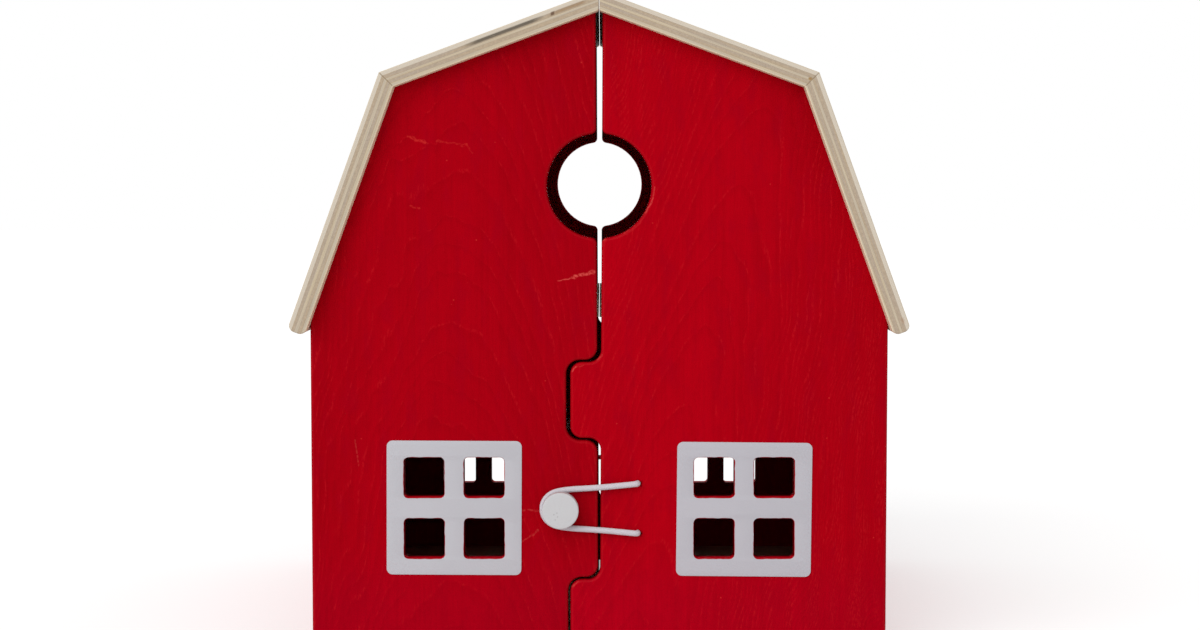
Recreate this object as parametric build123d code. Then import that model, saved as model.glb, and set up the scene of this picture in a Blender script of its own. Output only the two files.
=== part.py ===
from build123d import *
from math import asin, cos, hypot, pi, radians, sin, tan
import os

# Wooden toy house: a small plywood barn that parts down the middle into two equal halves.
# Each half has one gable with tabs and one gable with the matching recesses. Turned round by 180
# degrees, the right half is the left half, so everything here is written for the right half.
# The front faces -Y, the base stands on Z = 0, and the origin is the middle of the base.
# Lengths are in millimetres and angles in degrees.

# Overall shape
HOUSE_WIDTH = 260.0
HOUSE_DEPTH = 260.0
EAVE_HEIGHT = 150.0
KNEE_INSET = 38.7
LOWER_PITCH = 70.0
UPPER_PITCH = 20.3
ROOF_OVERHANG = 8.0
EAVE_OVERRUN = 4.8

# Boards
PANEL_PLY = 8.1
LOFT_PLY = 4.0
WALL_TOP_RISE = 3.0
PANEL_EASE = 1.6
SLAB_EASE = 0.5
EAVE_CORNER = 3.0

# Seam between the halves
SEAM_GAP_FOOT = 0.65
SEAM_GAP_RIDGE = 3.1
ROOF_SEAM_GAP = 0.3
LOFT_SEAM_GAP = 0.3
RIDGE_CORNER = 1.2
ROUND_WINDOW_DIAMETER = 47.0
ROUND_WINDOW_RISE = 62.3
ROUND_WINDOW_CORNER = 2.6

# Tabs that lock the seam
TAB_REACH = 13.0
TAB_HEIGHT = 34.4
TAB_SPACING = 64.3
TAB_CORNER = 5.3
TAB_ROOT_CORNER = 5.5
TAB_ROUNDING_SHARE = 0.45
LOWER_TAB_END_CLEARANCE = 1.0
UPPER_TAB_END_CLEARANCE = 1.9
TAB_SIDE_CLEARANCE = 1.0

# Windows
WINDOW_OFFSET = 65.5
WINDOW_HEIGHT = 67.0
PANE = 18.2
PANE_CORNER = 2.0
PANE_EASE = 0.35
UPRIGHT_BAR = 8.9
CROSS_BAR = 9.5
SURROUND_SIZE = 61.0
SURROUND_CORNER = 2.7
SURROUND_THICKNESS = 0.4
SURROUND_SET_BACK = 0.25

# Catch: a knob on one half and an elastic loop on the other
CATCH_OFFSET = 17.4
HOLE_SPACING = 22.6
ELASTIC_DIAMETER = 2.7
ELASTIC_HOLE_CLEARANCE = 0.15
ELASTIC_BEND = 2.3
NECK_DIAMETER = 12.7
NECK_LENGTH = 4.6
NECK_CLEARANCE = 0.3
KNOB_DIAMETER = 16.4
KNOB_THICKNESS = 5.0
KNOB_EASE = 0.5
SPIGOT_DIAMETER = 5.0
SPIGOT_LENGTH = 6.5
KNOT_DIAMETER = 6.6
KNOT_TAIL = 4.0

# Loft housings, dowels and fits
HOUSING_DEPTH = 3.0
HOUSING_SET_BACK = 8.0
HOUSING_CLEARANCE = 0.1
LOFT_ROOF_CLEARANCE = 0.3
DOWEL_DIAMETER = 5.0
DOWEL_SHALLOW_DEPTH = 6.0
DOWEL_DEEP_DEPTH = 16.0
DOWEL_END_PLAY = 0.4
GLUE_CLEARANCE = 0.05

# Where the dowels stand, as shares of the length that they hold
WALL_DOWEL_SHARES = (0.2, 0.5, 0.8)
FLOOR_DOWEL_SHARES = (0.25, 0.75)
ROOF_DOWEL_SHARES = (0.3, 0.7)
FLOOR_SIDE_DOWEL_SHARES = (-0.6, 0.0, 0.6)

# Places that follow from the sizes above
HALF_WIDTH = HOUSE_WIDTH / 2
FACE_Y = HOUSE_DEPTH / 2
INNER_Y = FACE_Y - PANEL_PLY
WALL_INNER_X = HALF_WIDTH - PANEL_PLY
KNEE_X = HALF_WIDTH - KNEE_INSET
KNEE_Z = EAVE_HEIGHT + KNEE_INSET * tan(radians(LOWER_PITCH))
RIDGE_Z = KNEE_Z + KNEE_X * tan(radians(UPPER_PITCH))
LOFT_BOTTOM = EAVE_HEIGHT + WALL_TOP_RISE
LOFT_TOP = LOFT_BOTTOM + LOFT_PLY
ROUND_WINDOW_Z = EAVE_HEIGHT + ROUND_WINDOW_RISE
TAB_RANGES = [(0.0, TAB_HEIGHT), (TAB_HEIGHT + TAB_SPACING, 2 * TAB_HEIGHT + TAB_SPACING)]
TAB_END_ROUNDING = min(TAB_CORNER, TAB_ROUNDING_SHARE * TAB_REACH)
TAB_ROOT_ROUNDING = min(TAB_ROOT_CORNER, TAB_ROUNDING_SHARE * TAB_REACH)
HOLE_HEIGHTS = [WINDOW_HEIGHT + HOLE_SPACING / 2, WINDOW_HEIGHT - HOLE_SPACING / 2]
LOOP_RADIUS = NECK_DIAMETER / 2 + NECK_CLEARANCE + ELASTIC_DIAMETER / 2


def seam_edge(height):
    """X of the right gable's seam edge: the gap widens steadily from the foot to the ridge."""
    gap = SEAM_GAP_FOOT + (SEAM_GAP_RIDGE - SEAM_GAP_FOOT) * height / RIDGE_Z
    return gap / 2


def lower_roof_x(height):
    """X of the underside of the lower roof slab at a height."""
    return HALF_WIDTH - (height - EAVE_HEIGHT) / tan(radians(LOWER_PITCH))


def upper_roof_z(x):
    """Height of the underside of the upper roof slab."""
    return RIDGE_Z - x * tan(radians(UPPER_PITCH))


def slab_normal(pitch):
    """Outward normal of a roof slab, as X and Z."""
    return sin(radians(pitch)), cos(radians(pitch))


def upright(profile, back_y, depth):
    """A profile drawn as seen from the front, made solid from back_y towards the front."""
    return extrude(Plane.XZ.offset(-back_y) * profile, depth)


def vertex_near(shape, x, z):
    """The corner of a flat profile that lies nearest to a point."""
    return shape.vertices().sort_by_distance((x, z, 0))[0]


def rounded_square(size, corner):
    return RectangleRounded(size, size, corner)


def window_panes(size, corner):
    """The four panes of a window, all of one size."""
    across = (PANE + UPRIGHT_BAR) / 2
    up = (PANE + CROSS_BAR) / 2
    spots = [(x, z) for x in (-across, across) for z in (-up, up)]
    panes = [Pos(WINDOW_OFFSET + x, WINDOW_HEIGHT + z) * rounded_square(size, corner) for x, z in spots]
    return Sketch() + panes


def half_gable_profile():
    """Half a gable with a straight seam edge and its half of the round window."""
    ridge_x = seam_edge(RIDGE_Z)
    outline = [
        (seam_edge(0), 0),
        (HALF_WIDTH, 0),
        (HALF_WIDTH, EAVE_HEIGHT),
        (KNEE_X, KNEE_Z),
        (ridge_x, upper_roof_z(ridge_x)),
    ]
    profile = make_face(Polyline(*outline, close=True))
    return profile - Pos(0, ROUND_WINDOW_Z) * Circle(ROUND_WINDOW_DIAMETER / 2)


def round_window_corners(profile):
    """Rounds the two corners where the round window meets the seam edge."""
    for side in (-1, 1):
        height = ROUND_WINDOW_Z + side * ROUND_WINDOW_DIAMETER / 2
        profile = fillet(vertex_near(profile, seam_edge(height), height), ROUND_WINDOW_CORNER)
    return profile


def tab_gable_profile():
    """Half gable whose tabs reach across the seam."""
    profile = half_gable_profile()
    for bottom, top in TAB_RANGES:
        reach = TAB_REACH + seam_edge(top) + PANEL_PLY
        tab = Rectangle(reach, top - bottom, align=(Align.MIN, Align.MIN))
        profile += Pos(-TAB_REACH, bottom) * tab
    for bottom, top in TAB_RANGES:
        for height in (bottom, top):
            profile = fillet(vertex_near(profile, -TAB_REACH, height), TAB_END_ROUNDING)
            if height > 0:
                root = vertex_near(profile, seam_edge(height), height)
                profile = fillet(root, TAB_ROOT_ROUNDING)
    return round_window_corners(profile)


def socket_gable_profile():
    """Half gable with a recess for each tab of the other half."""
    profile = half_gable_profile()
    depths = [TAB_REACH + LOWER_TAB_END_CLEARANCE, TAB_REACH + UPPER_TAB_END_CLEARANCE]
    end_rounding = TAB_END_ROUNDING + TAB_SIDE_CLEARANCE
    for depth, (bottom, top) in zip(depths, TAB_RANGES):
        low = bottom - TAB_SIDE_CLEARANCE
        height = top - bottom + 2 * TAB_SIDE_CLEARANCE
        recess = Rectangle(depth + PANEL_PLY, height, align=(Align.MAX, Align.MIN))
        profile -= Pos(depth, low) * recess
    for depth, (bottom, top) in zip(depths, TAB_RANGES):
        for height in (bottom - TAB_SIDE_CLEARANCE, top + TAB_SIDE_CLEARANCE):
            if height > 0:
                profile = fillet(vertex_near(profile, depth, height), end_rounding)
                profile = fillet(vertex_near(profile, seam_edge(height), height), TAB_ROOT_ROUNDING)
    return round_window_corners(profile)


def at_seam(edge):
    """Whether an edge of a gable's face belongs to the seam, the tabs or the round window."""
    return edge.bounding_box().max.X < ROUND_WINDOW_DIAMETER


def ease_gable(board, outer_y, inner_y):
    """Rounds the outer face's outline, sharp only under the roof, and the inner face's seam."""
    outer = board.faces().filter_by(Plane.XZ).sort_by(lambda face: abs(face.center().Y - outer_y))[0]
    outline = outer.outer_wire().edges()
    free = [edge for edge in outline if at_seam(edge) or edge.bounding_box().min.Z < EAVE_HEIGHT / 2]
    board = fillet(free, PANEL_EASE)
    inner = board.faces().filter_by(Plane.XZ).sort_by(lambda face: abs(face.center().Y - inner_y))[0]
    seam = [edge for edge in inner.outer_wire().edges() if at_seam(edge)]
    seam = [edge for edge in seam if edge.bounding_box().max.Z > PANEL_PLY]
    return fillet(seam, PANEL_EASE)


def cut_windows(board, outer_y):
    """Cuts the panes through a gable and eases their outer rims."""
    board -= upright(window_panes(PANE, PANE_CORNER), HOUSE_DEPTH, 2 * HOUSE_DEPTH)
    outer = board.faces().filter_by(Plane.XZ).sort_by(lambda face: abs(face.center().Y - outer_y))[0]
    rims = [edge for wire in outer.inner_wires() for edge in wire.edges()]
    return fillet(rims, PANE_EASE)


def along_y(x, z, start_y, end_y, diameter):
    """Round bar from one Y to another."""
    centre = Pos(x, (start_y + end_y) / 2, z) * Rot(90, 0, 0)
    return centre * Cylinder(diameter / 2, abs(end_y - start_y))


def housing(inner_y, outward):
    """Slot in a gable's inner face that takes the end of the loft board."""
    length = WALL_INNER_X - 2 * HOUSING_SET_BACK + 2 * HOUSING_CLEARANCE
    depth = HOUSING_DEPTH + HOUSING_CLEARANCE
    height = LOFT_PLY + 2 * HOUSING_CLEARANCE
    middle = Pos(WALL_INNER_X / 2, inner_y + outward * depth / 2, (LOFT_BOTTOM + LOFT_TOP) / 2)
    return middle * Box(length, depth, height)


def tab_gable():
    """Front gable of the right half, with tabs and the two holes of the elastic."""
    board = upright(tab_gable_profile(), -INNER_Y, PANEL_PLY)
    board = ease_gable(board, -FACE_Y, -INNER_Y)
    board = cut_windows(board, -FACE_Y)
    for height in HOLE_HEIGHTS:
        diameter = ELASTIC_DIAMETER + 2 * ELASTIC_HOLE_CLEARANCE
        board -= along_y(CATCH_OFFSET, height, -FACE_Y, -INNER_Y, diameter)
    return board - housing(-INNER_Y, -1)


def socket_gable():
    """Rear gable of the right half, with recesses and the blind hole of the knob."""
    board = upright(socket_gable_profile(), FACE_Y, PANEL_PLY)
    board = ease_gable(board, FACE_Y, INNER_Y)
    board = cut_windows(board, FACE_Y)
    blind_end = FACE_Y - SPIGOT_LENGTH - DOWEL_END_PLAY
    board -= along_y(CATCH_OFFSET, WINDOW_HEIGHT, blind_end, FACE_Y, SPIGOT_DIAMETER + 2 * GLUE_CLEARANCE)
    return board - housing(INNER_Y, 1)


def window_surround(back_y):
    """Flat white surround with four openings, a little larger than the panes."""
    frame = rounded_square(SURROUND_SIZE, SURROUND_CORNER)
    openings = window_panes(PANE + 2 * SURROUND_SET_BACK, PANE_CORNER + SURROUND_SET_BACK)
    profile = Pos(WINDOW_OFFSET, WINDOW_HEIGHT) * frame - openings
    return upright(profile, back_y, SURROUND_THICKNESS)


def side_wall():
    """Outer wall between the gables, its top bevelled to sit under the lower roof slab."""
    profile = make_face(Polyline(
        (WALL_INNER_X, 0),
        (HALF_WIDTH, 0),
        (HALF_WIDTH, EAVE_HEIGHT),
        (lower_roof_x(LOFT_BOTTOM), LOFT_BOTTOM),
        (WALL_INNER_X, LOFT_BOTTOM),
        close=True,
    ))
    return upright(profile, INNER_Y, 2 * INNER_Y)


def floor_board():
    """Floor between the gables and the side wall."""
    width = WALL_INNER_X - seam_edge(0)
    board = Box(width, 2 * INNER_Y, PANEL_PLY, align=(Align.MIN, Align.CENTER, Align.MIN))
    board = Pos(seam_edge(0), 0, 0) * board
    return fillet(board.edges().filter_by(Axis.Y).sort_by(Axis.X)[:2].sort_by(Axis.Z)[-1], PANEL_EASE)


def loft():
    """Thin upper floor: it lies on the side wall, and its ends sit in the gables."""
    inner_x = LOFT_SEAM_GAP / 2
    outer_x = lower_roof_x(LOFT_TOP) - LOFT_ROOF_CLEARANCE
    corner = (Align.MIN, Align.CENTER, Align.MIN)
    board = Pos(inner_x, 0, LOFT_BOTTOM) * Box(outer_x - inner_x, 2 * INNER_Y, LOFT_PLY, align=corner)
    tongue_length = WALL_INNER_X - 2 * HOUSING_SET_BACK
    tongues = Box(tongue_length, 2 * (INNER_Y + HOUSING_DEPTH), LOFT_PLY, align=corner)
    return board + Pos(HOUSING_SET_BACK, 0, LOFT_BOTTOM) * tongues


def outer_knee():
    """Outer corner where the two roof slabs meet at their mitre."""
    lower_x, lower_z = slab_normal(LOWER_PITCH)
    upper_x, upper_z = slab_normal(UPPER_PITCH)
    reach = PANEL_PLY / (1 + lower_x * upper_x + lower_z * upper_z)
    return KNEE_X + reach * (lower_x + upper_x), KNEE_Z + reach * (lower_z + upper_z)


def ease_slab(slab, mitre_x):
    """Softens the end faces' arrises, apart from the ones at the mitre and the ridge."""
    half_depth = FACE_Y + ROOF_OVERHANG
    rims = []
    for edge in slab.edges():
        box = edge.bounding_box()
        on_end = abs(abs(edge.center().Y) - half_depth) < SLAB_EASE and box.size.Y < SLAB_EASE
        at_mitre = KNEE_X - SLAB_EASE < box.min.X and box.max.X < mitre_x + SLAB_EASE
        at_ridge = box.max.X < 2 * RIDGE_CORNER
        if on_end and not at_ridge and not at_mitre:
            rims.append(edge)
    return fillet(rims, SLAB_EASE)


def lower_roof():
    """Steep roof slab from the knee down past the side wall."""
    normal_x, normal_z = slab_normal(LOWER_PITCH)
    eave_x = HALF_WIDTH + EAVE_OVERRUN * cos(radians(LOWER_PITCH))
    eave_z = EAVE_HEIGHT - EAVE_OVERRUN * sin(radians(LOWER_PITCH))
    tip_x = eave_x + PANEL_PLY * normal_x
    tip_z = eave_z + PANEL_PLY * normal_z
    knee = outer_knee()
    profile = make_face(Polyline((KNEE_X, KNEE_Z), (eave_x, eave_z), (tip_x, tip_z), knee, close=True))
    profile = fillet(vertex_near(profile, eave_x, eave_z), EAVE_CORNER)
    profile = fillet(vertex_near(profile, tip_x, tip_z), EAVE_CORNER)
    half_depth = FACE_Y + ROOF_OVERHANG
    return ease_slab(upright(profile, half_depth, 2 * half_depth), knee[0])


def upper_roof():
    """Shallow roof slab from the ridge, where it is cut plumb, to the knee."""
    ridge_x = ROOF_SEAM_GAP / 2
    inner_z = upper_roof_z(ridge_x)
    outer_z = inner_z + PANEL_PLY / cos(radians(UPPER_PITCH))
    knee = outer_knee()
    profile = make_face(Polyline((ridge_x, inner_z), (KNEE_X, KNEE_Z), knee, (ridge_x, outer_z), close=True))
    profile = fillet(vertex_near(profile, ridge_x, inner_z), RIDGE_CORNER)
    half_depth = FACE_Y + ROOF_OVERHANG
    return ease_slab(upright(profile, half_depth, 2 * half_depth), knee[0])


def knob():
    """Turned knob on the rear gable of the right half: head, neck and glued spigot."""
    head_y = FACE_Y + NECK_LENGTH
    head = along_y(CATCH_OFFSET, WINDOW_HEIGHT, head_y, head_y + KNOB_THICKNESS, KNOB_DIAMETER)
    head = fillet(head.edges().filter_by(GeomType.CIRCLE), KNOB_EASE)
    neck = along_y(CATCH_OFFSET, WINDOW_HEIGHT, FACE_Y, head_y, NECK_DIAMETER)
    spigot = along_y(CATCH_OFFSET, WINDOW_HEIGHT, FACE_Y - SPIGOT_LENGTH, FACE_Y, SPIGOT_DIAMETER)
    return head + neck + spigot


def hole_bend(height, strand_x, strand_z):
    """Quarter turn of the elastic from its hole in the front gable into a strand."""
    centre = Vector(CATCH_OFFSET, -FACE_Y, height) + Vector(strand_x, 0, strand_z) * ELASTIC_BEND
    start = Vector(CATCH_OFFSET, -FACE_Y, height)
    end = centre - Vector(0, ELASTIC_BEND, 0)
    halfway = (start - centre + end - centre).normalized() * ELASTIC_BEND
    return ThreePointArc(start, centre + halfway, end)


def elastic_path():
    """Centre line of the hooked elastic: out of one hole, round the neck and into the other hole."""
    plane_y = -FACE_Y - ELASTIC_BEND
    run = 2 * CATCH_OFFSET
    rise = HOLE_SPACING / 2
    slope = asin(rise / hypot(run, rise)) - asin(LOOP_RADIUS / hypot(run, rise))
    strand_x = -cos(slope)
    strand_z = -sin(slope)
    touch_x = -CATCH_OFFSET - LOOP_RADIUS * sin(slope)
    touch_z = LOOP_RADIUS * cos(slope)
    upper_bend = hole_bend(HOLE_HEIGHTS[0], strand_x, strand_z)
    lower_bend = hole_bend(HOLE_HEIGHTS[1], strand_x, -strand_z)
    upper_touch = Vector(touch_x, plane_y, WINDOW_HEIGHT + touch_z)
    lower_touch = Vector(touch_x, plane_y, WINDOW_HEIGHT - touch_z)
    far_point = Vector(-CATCH_OFFSET - LOOP_RADIUS, plane_y, WINDOW_HEIGHT)
    return Wire([
        *upper_bend.edges(),
        *Line(upper_bend @ 1, upper_touch).edges(),
        *ThreePointArc(upper_touch, far_point, lower_touch).edges(),
        *Line(lower_touch, lower_bend @ 1).edges(),
        *lower_bend.edges(),
    ])


def elastic_loop():
    """The part of the elastic that shows, hooked round the knob of the left half."""
    path = elastic_path()
    section = Plane(origin=path @ 0, z_dir=path % 0) * Circle(ELASTIC_DIAMETER / 2)
    loop = sweep(section, path=path)
    section_area = pi * (ELASTIC_DIAMETER / 2) ** 2
    print("visible elastic: length %.1f mm" % path.length)
    print("volume over section times length %.4f" % (loop.volume / (section_area * path.length)))
    return loop


def elastic_ends():
    """The two ends of the elastic: through the gable to a knot behind it, with a short tail."""
    ends = []
    for height in HOLE_HEIGHTS:
        knot_y = KNOT_DIAMETER / 2 - INNER_Y
        end = along_y(CATCH_OFFSET, height, -FACE_Y, knot_y + KNOT_DIAMETER / 2 + KNOT_TAIL, ELASTIC_DIAMETER)
        end += Pos(CATCH_OFFSET, knot_y, height) * Sphere(KNOT_DIAMETER / 2)
        ends.append(end)
    return Compound(children=[end.solid() for end in ends])


def dowel_places():
    """Each dowel's point on the joint, and the direction in which it goes in deep."""
    middle_ply = PANEL_PLY / 2
    places = []
    for side in (-1, 1):
        for share in WALL_DOWEL_SHARES:
            spot = Vector(WALL_INNER_X + middle_ply, side * INNER_Y, share * EAVE_HEIGHT)
            places.append((spot, Vector(0, -side, 0)))
        for share in FLOOR_DOWEL_SHARES:
            spot = Vector(share * WALL_INNER_X, side * INNER_Y, middle_ply)
            places.append((spot, Vector(0, -side, 0)))
        for share in ROOF_DOWEL_SHARES:
            lower_x, lower_z = slab_normal(LOWER_PITCH)
            height = KNEE_Z + share * (EAVE_HEIGHT - KNEE_Z)
            spot = Vector(lower_roof_x(height), side * (INNER_Y + middle_ply), height)
            places.append((spot, Vector(-lower_x, 0, -lower_z)))
            upper_x, upper_z = slab_normal(UPPER_PITCH)
            spot = Vector(share * KNEE_X, side * (INNER_Y + middle_ply), upper_roof_z(share * KNEE_X))
            places.append((spot, Vector(-upper_x, 0, -upper_z)))
    for share in FLOOR_SIDE_DOWEL_SHARES:
        spot = Vector(WALL_INNER_X, share * INNER_Y, middle_ply)
        places.append((spot, Vector(-1, 0, 0)))
    return places


def peg(place, diameter, end_play):
    """Round peg across a joint: shallow behind the point, deep along the direction."""
    spot, direction = place
    length = DOWEL_SHALLOW_DEPTH + DOWEL_DEEP_DEPTH - 2 * end_play
    start = spot - direction * (DOWEL_SHALLOW_DEPTH - end_play)
    bar = Cylinder(diameter / 2, length, align=(Align.CENTER, Align.CENTER, Align.MIN))
    return Plane(origin=start, z_dir=direction) * bar


def dowels():
    """All the hidden dowels of a half."""
    pegs = [peg(place, DOWEL_DIAMETER, DOWEL_END_PLAY) for place in dowel_places()]
    return Compound(children=[each.solid() for each in pegs])


def drilled(board):
    """A board with the dowel holes that pass through it."""
    for place in dowel_places():
        board -= peg(place, DOWEL_DIAMETER + 2 * GLUE_CLEARANCE, 0)
    return board


def half_house():
    """Every piece of the right half by name."""
    return {
        "tab_gable": drilled(tab_gable()),
        "socket_gable": drilled(socket_gable()),
        "tab_gable_window_surround": window_surround(-FACE_Y),
        "socket_gable_window_surround": window_surround(FACE_Y + SURROUND_THICKNESS),
        "side_wall": drilled(side_wall()),
        "floor": drilled(floor_board()),
        "loft": loft(),
        "lower_roof": drilled(lower_roof()),
        "upper_roof": drilled(upper_roof()),
        "knob": knob(),
        "elastic_loop": elastic_loop(),
        "elastic_ends": elastic_ends(),
        "dowels": dowels(),
    }


os.makedirs("parts", exist_ok=True)
half = half_house()
for side, turn in (("right", 0), ("left", 180)):
    for name, piece in half.items():
        export_step(Rot(0, 0, turn) * piece, "parts/%s_%s.step" % (side, name))
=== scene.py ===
from math import cos, pi, radians, sin, tau

import bmesh
import bpy
import numpy as np
from mathutils import Matrix, Vector, noise


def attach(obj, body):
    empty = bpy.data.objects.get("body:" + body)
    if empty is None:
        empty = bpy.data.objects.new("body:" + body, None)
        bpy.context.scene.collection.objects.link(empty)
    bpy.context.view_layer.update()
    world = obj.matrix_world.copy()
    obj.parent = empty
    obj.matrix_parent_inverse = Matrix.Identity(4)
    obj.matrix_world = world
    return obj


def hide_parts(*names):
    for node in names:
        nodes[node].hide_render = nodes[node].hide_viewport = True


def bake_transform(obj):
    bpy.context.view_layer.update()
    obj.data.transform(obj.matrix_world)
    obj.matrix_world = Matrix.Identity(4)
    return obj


# Looks of the wooden toy house: red stained gables, bare plywood roof, painted window surrounds,
# turned knobs and braided elastic. Object coordinates are the row frame in metres. The finishes
# work in millimetres, and each one sees a left piece turned round by 180 degrees, so that the same
# numbers hold for both halves.

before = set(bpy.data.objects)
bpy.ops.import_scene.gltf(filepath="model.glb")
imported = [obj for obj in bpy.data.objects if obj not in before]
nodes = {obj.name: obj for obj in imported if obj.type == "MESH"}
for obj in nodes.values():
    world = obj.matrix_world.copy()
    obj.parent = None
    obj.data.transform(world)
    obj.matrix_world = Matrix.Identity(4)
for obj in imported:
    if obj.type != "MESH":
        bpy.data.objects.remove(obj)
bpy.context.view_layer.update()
MM = 0.001
SIDES = {"right": 1, "left": -1}

# Sizes that repeat the ones of the CAD model, in millimetres
HALF_WIDTH = 130.0
FACE_Y = 130.0
PANEL_PLY = 8.1
INNER_Y = FACE_Y - PANEL_PLY
LOFT_BOTTOM = 153.0
EAVE_HEIGHT = 150.0
KNEE_X = 91.3
LOWER_PITCH = 70.0
UPPER_PITCH = 20.3
WINDOW_OFFSET = 65.5
WINDOW_HEIGHT = 67.0
PANE = 18.2
UPRIGHT_BAR = 8.9
CROSS_BAR = 9.5
SURROUND_SIZE = 61.0
SURROUND_THICKNESS = 0.4
CATCH_OFFSET = 17.4
HOLE_SPACING = 22.6
ELASTIC_RADIUS = 1.35
LOOP_RADIUS = 8.0
NECK_RADIUS = 6.35
NECK_LENGTH = 4.6
KNOB_RADIUS = 8.2
KNOB_THICKNESS = 5.0
KNOB_EASE = 0.5
SPIGOT_RADIUS = 2.5
SPIGOT_LENGTH = 6.5

# Small forms and the elastic, in millimetres
KNOB_CROWNING = 0.06
SPIGOT_CHAMFER = 0.4
NECK_CHAMFER = 0.25
NECK_FILLET = 0.4
FILM_BEVEL = 0.08
PANE_UNEVENNESS = 0.22
STRAND_STEP = 0.17
BRAID_PITCH = 1.15
BRAID_STRANDS = 8
KNOT_RADIUS = 2.35
KNOT_LENGTH = 5.0
STRAND_PLANE = -FACE_Y - 2.3
LOOP_CONTROL_RADIUS = LOOP_RADIUS / 0.9255  # the smooth curve stays inside its control points

# Heights above a board's inner face at which its plies change, in millimetres
PLY_EDGES = (1.6, 3.5, 4.55, 6.4)
LOFT_EDGES = (1.2, 2.8)

# Colours as linear reflectance
RED = (0.435, 0.0002, 0.0066)
RED_LINE = (0.58, 0.012, 0.016)
RED_DARK = (0.30, 0.0004, 0.0045)
RED_BLOT = (0.365, 0.0002, 0.0090)
RED_EDGE = (0.33, 0.0006, 0.0050)
# Rubbed spots, and painted highlights on the right gable's edges
SCUFF_AND_HIGHLIGHT = (0.80, 0.10, 0.085)
PALE_RED = (0.66, 0.030, 0.026)
# Painted light: the red of the lit pane sills and of the upper room's inner walls
PAINTED_LIGHT_RED = (0.70, 0.002, 0.012)
SHADE = (0.010, 0.001, 0.001)
COOL_FOOT = (0.98, 1.0, 1.45)
BIRCH_SIDE = (0.60, 0.51, 0.385)
BIRCH_END = (0.50, 0.405, 0.305)
BIRCH_OUTER = (0.70, 0.62, 0.51)
# Painted light: the lit underside of the roof's overhang
PAINTED_LIGHT_BIRCH = (0.84, 0.72, 0.52)
BIRCH_FACE = (0.70, 0.585, 0.425)
BIRCH_LATE = (0.56, 0.43, 0.28)
GLUE_LINE = (0.36, 0.27, 0.17)
RIDGE_SHADE = (0.045, 0.024, 0.010)
WARM_TINT = (1.03, 1.00, 0.93)
COOL_TINT = (0.97, 0.98, 1.02)
LEFT_PAINT = (0.540, 0.534, 0.572)
RIGHT_PAINT = (0.515, 0.503, 0.546)
WHITE_KNOB = (0.604, 0.604, 0.617)
WHITE_ELASTIC = (0.700, 0.665, 0.715)
PEG_WOOD = (0.62, 0.45, 0.29)
MITRE_BROWN = (0.25, 0.17, 0.095)
# Painted shade inside the open gap of the left upper slab's ply
VOID_SHADE_GREY = (0.085, 0.075, 0.062)
VOID_BROWN = (0.30, 0.17, 0.08)
VOID_DOT = (0.10, 0.045, 0.025)
KNOT_BROWN = (0.36, 0.20, 0.06)
EAVE_BROWN = (0.40, 0.22, 0.13)
DIRT = (0.20, 0.19, 0.19)
BLACK = (0.0, 0.0, 0.0)
WHITE = (1.0, 1.0, 1.0)
FLOOR = (0.80, 0.80, 0.80)

# Shares of the shade and light that are laid over the finishes
PANE_WALL_SHADE = 0.65
LOWER_ROOM_SHADE = 0.3
UPPER_ROOM_LIGHT = 0.55
RIDGE_SHADE_SHARE = 0.85

# Specular levels
RED_GLOSS = 0.004
BIRCH_GLOSS = 0.01
PEG_GLOSS = 0.25
FILM_GLOSS = 0.30
KNOB_GLOSS = 0.35
ELASTIC_GLOSS = 0.15

# Levels of the light, with 1 for a white surface that renders white
KEY_LEVEL = 0.42
SKY_LEVEL = 0.62
FLOOR_GLOW = 0.42


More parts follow.
